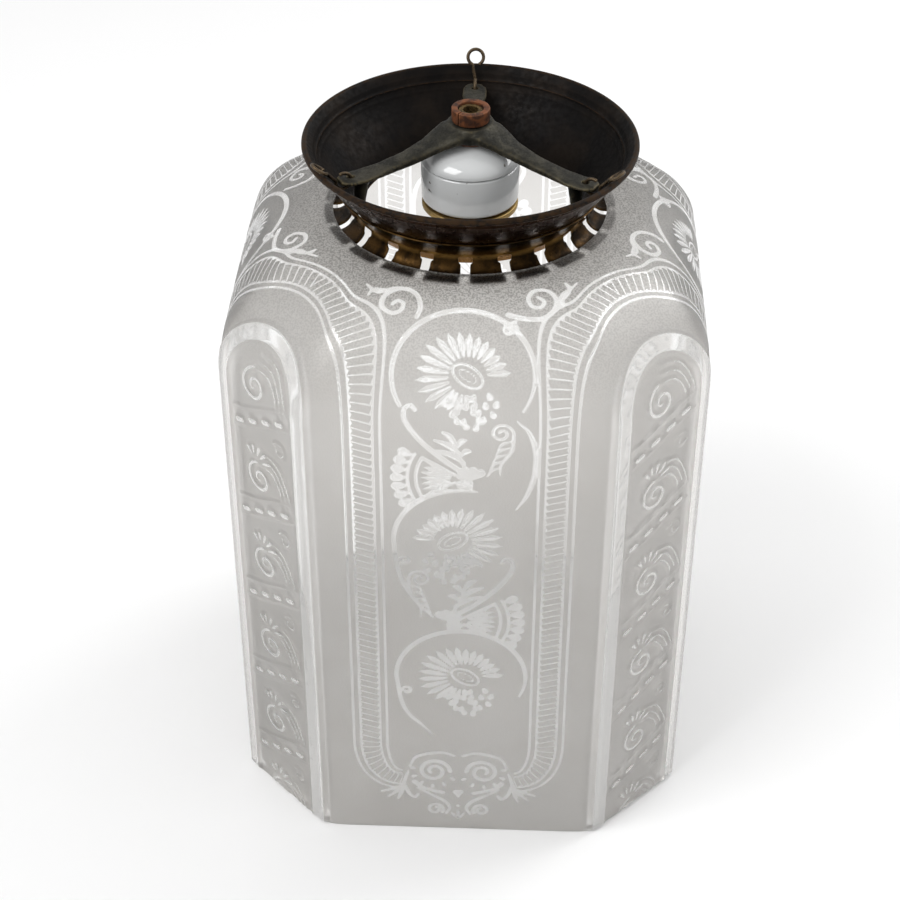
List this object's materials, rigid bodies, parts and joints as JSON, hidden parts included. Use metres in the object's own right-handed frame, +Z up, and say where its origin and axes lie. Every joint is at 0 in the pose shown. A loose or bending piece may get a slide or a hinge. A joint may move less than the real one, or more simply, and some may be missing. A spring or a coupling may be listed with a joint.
{
  "type": "pendant ceiling light",
  "caption": "Square hall-lantern shade of etched glass with chamfered corners, carried by a slotted brass gallery with a three-arm spider, porcelain lampholder and chain links.",
  "frame": {"origin": "middle of the open bottom rim of the glass, on the plane it stands on", "axes": "+Z up along the shade's axis, -Y to the front face, +X to the right of someone who looks at the front"},
  "size_m": [0.2208, 0.2208, 0.3475],
  "materials": {
    "etched_glass": "acid-etched frosted glass with clear ornament",
    "gallery_brass": "spun brass with a near-black brown patina",
    "fitter_brass": "spun brass, stained brown with golden wear",
    "spider_bronze": "cast bronze with a dark grey-green patina",
    "collar_copper": "dull orange-brown oxidised copper",
    "link_wire": "dark brown oxidised wire",
    "porcelain": "white glaze, gone slightly grey",
    "plain_brass": "aged brass",
    "contact_bronze": "phosphor bronze strip",
    "screw_steel": "plain steel",
    "fibre": "brown vulcanised fibre"
  },
  "bodies": {
    "lantern": {"glass_shade": "etched_glass", "gallery_dish": "gallery_brass", "glass_fitter": "fitter_brass", "spider": "spider_bronze", "arm_rivet_1": "gallery_brass", "arm_rivet_2": "gallery_brass", "arm_rivet_3": "gallery_brass", "collar": "collar_copper", "threaded_nipple": "plain_brass", "hub_washer": "fibre", "cap_nut": "plain_brass", "entry_bush": "fibre", "porcelain_cap": "porcelain", "porcelain_skirt": "porcelain", "shade_ring": "plain_brass", "insulator_core": "porcelain", "screw_shell": "plain_brass", "centre_contact": "contact_bronze", "side_contact": "contact_bronze", "terminal_screw_1": "plain_brass", "terminal_screw_2": "plain_brass", "core_screw_1": "screw_steel", "core_screw_2": "screw_steel"},
    "link_1": {"chain_link_1": "link_wire"},
    "link_2": {"chain_link_2": "link_wire"},
    "link_3": {"chain_link_3": "link_wire"}
  },
  "joints": [
    {"name": "link_1_swing", "type": "hinge", "parent": "lantern", "child": "link_1", "pos_m": [0, 0.0632, 0.3262], "axis": [1, 0, 0], "range_deg": [-25, 68]},
    {"name": "link_2_swing", "type": "hinge", "parent": "lantern", "child": "link_2", "pos_m": [-0.05473, -0.0316, 0.3262], "axis": [-0.5, 0.866, 0], "range_deg": [0, 93]},
    {"name": "link_3_swing", "type": "hinge", "parent": "lantern", "child": "link_3", "pos_m": [0.05473, -0.0316, 0.3262], "axis": [-0.5, -0.866, 0], "range_deg": [0, 93]}
  ]
}
